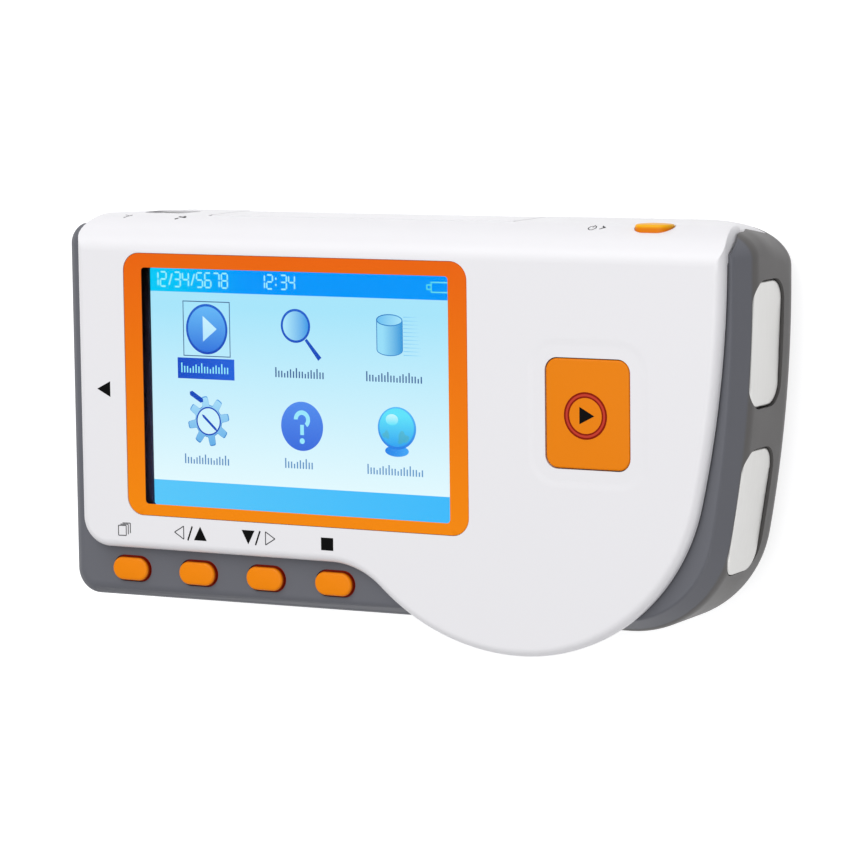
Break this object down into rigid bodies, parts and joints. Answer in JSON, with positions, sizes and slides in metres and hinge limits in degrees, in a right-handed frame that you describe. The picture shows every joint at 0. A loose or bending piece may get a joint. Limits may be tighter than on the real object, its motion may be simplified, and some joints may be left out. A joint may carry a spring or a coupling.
{
  "type": "ecg home monitor",
  "caption": "Handheld ECG monitor with a colour display, orange buttons, end electrodes, a lead socket and a sliding battery door.",
  "frame": {"origin": "bottom centre of the box, on the surface that it lies on", "axes": "+X to the right along the length, +Y to the top edge, +Z out of the screen"},
  "size_m": [0.125, 0.07, 0.025],
  "materials": {
    "white_cover": "satin gloss",
    "grey_housing": "fine matt",
    "orange_frame": "gloss",
    "orange_button": "satin",
    "clear_window": "polished clear",
    "black_foam": "foam",
    "display": "lit display",
    "backlight_white": "plain",
    "silver_plate": "silver plated satin",
    "board_green": "solder resist",
    "chip_black": "moulded",
    "cell_blue": "printed sleeve",
    "polyimide": "film",
    "steel": "bright"
  },
  "bodies": {
    "root": {"rear_housing": "grey_housing", "front_cover": "white_cover", "screen_frame": "orange_frame", "display_window": "clear_window", "display_gasket": "black_foam", "lcd_glass": "display", "backlight": "backlight_white", "lcd_tray": "steel", "lcd_flex": "polyimide", "main_board": "board_green", "processor": "chip_black", "amplifier_chip": "chip_black", "buzzer": "chip_black", "menu_switch": "chip_black", "left_up_switch": "chip_black", "right_down_switch": "chip_black", "stop_switch": "chip_black", "play_switch": "chip_black", "power_switch": "chip_black", "electrode_upper_right": "silver_plate", "electrode_lower_right": "silver_plate", "electrode_left": "silver_plate", "clip_upper_right": "steel", "clip_lower_right": "steel", "clip_left": "steel", "lead_socket": "chip_black", "lead_socket_pins": "silver_plate", "battery_1": "cell_blue", "battery_2": "cell_blue", "battery_contact_1": "steel", "battery_contact_2": "steel", "battery_link_plate": "steel", "battery_spring_1": "steel", "battery_spring_2": "steel", "rear_screw_1": "steel", "rear_screw_2": "steel", "rear_screw_3": "steel", "rear_screw_4": "steel", "rear_screw_5": "steel", "rear_screw_6": "steel"},
    "menu_key": {"menu_button": "orange_button", "menu_plunger": "steel"},
    "left_up_key": {"left_up_button": "orange_button", "left_up_plunger": "steel"},
    "right_down_key": {"right_down_button": "orange_button", "right_down_plunger": "steel"},
    "stop_key": {"stop_button": "orange_button", "stop_plunger": "steel"},
    "play_key": {"play_button": "orange_button", "play_plunger": "steel"},
    "power_key": {"power_button": "orange_button", "power_plunger": "steel"},
    "door": {"battery_door": "white_cover"}
  },
  "joints": [
    {"name": "menu_press", "type": "slide", "parent": "root", "child": "menu_key", "axis": [0, 0, -1], "range_m": [0, 0.0005], "stiffness_N_per_m": 400, "springref_m": -0.0005},
    {"name": "left_up_press", "type": "slide", "parent": "root", "child": "left_up_key", "axis": [0, 0, -1], "range_m": [0, 0.0005], "stiffness_N_per_m": 400, "springref_m": -0.0005},
    {"name": "right_down_press", "type": "slide", "parent": "root", "child": "right_down_key", "axis": [0, 0, -1], "range_m": [0, 0.0005], "stiffness_N_per_m": 400, "springref_m": -0.0005},
    {"name": "stop_press", "type": "slide", "parent": "root", "child": "stop_key", "axis": [0, 0, -1], "range_m": [0, 0.0005], "stiffness_N_per_m": 400, "springref_m": -0.0005},
    {"name": "play_press", "type": "slide", "parent": "root", "child": "play_key", "axis": [0, 0, -1], "range_m": [0, 0.0005], "stiffness_N_per_m": 400, "springref_m": -0.0005},
    {"name": "power_press", "type": "slide", "parent": "root", "child": "power_key", "axis": [0, -1, 0], "range_m": [0, 0.0005], "stiffness_N_per_m": 400, "springref_m": -0.0005},
    {"name": "door_slide", "type": "slide", "parent": "root", "child": "door", "axis": [0, 1, 0], "range_m": [0, 0.03]}
  ]
}
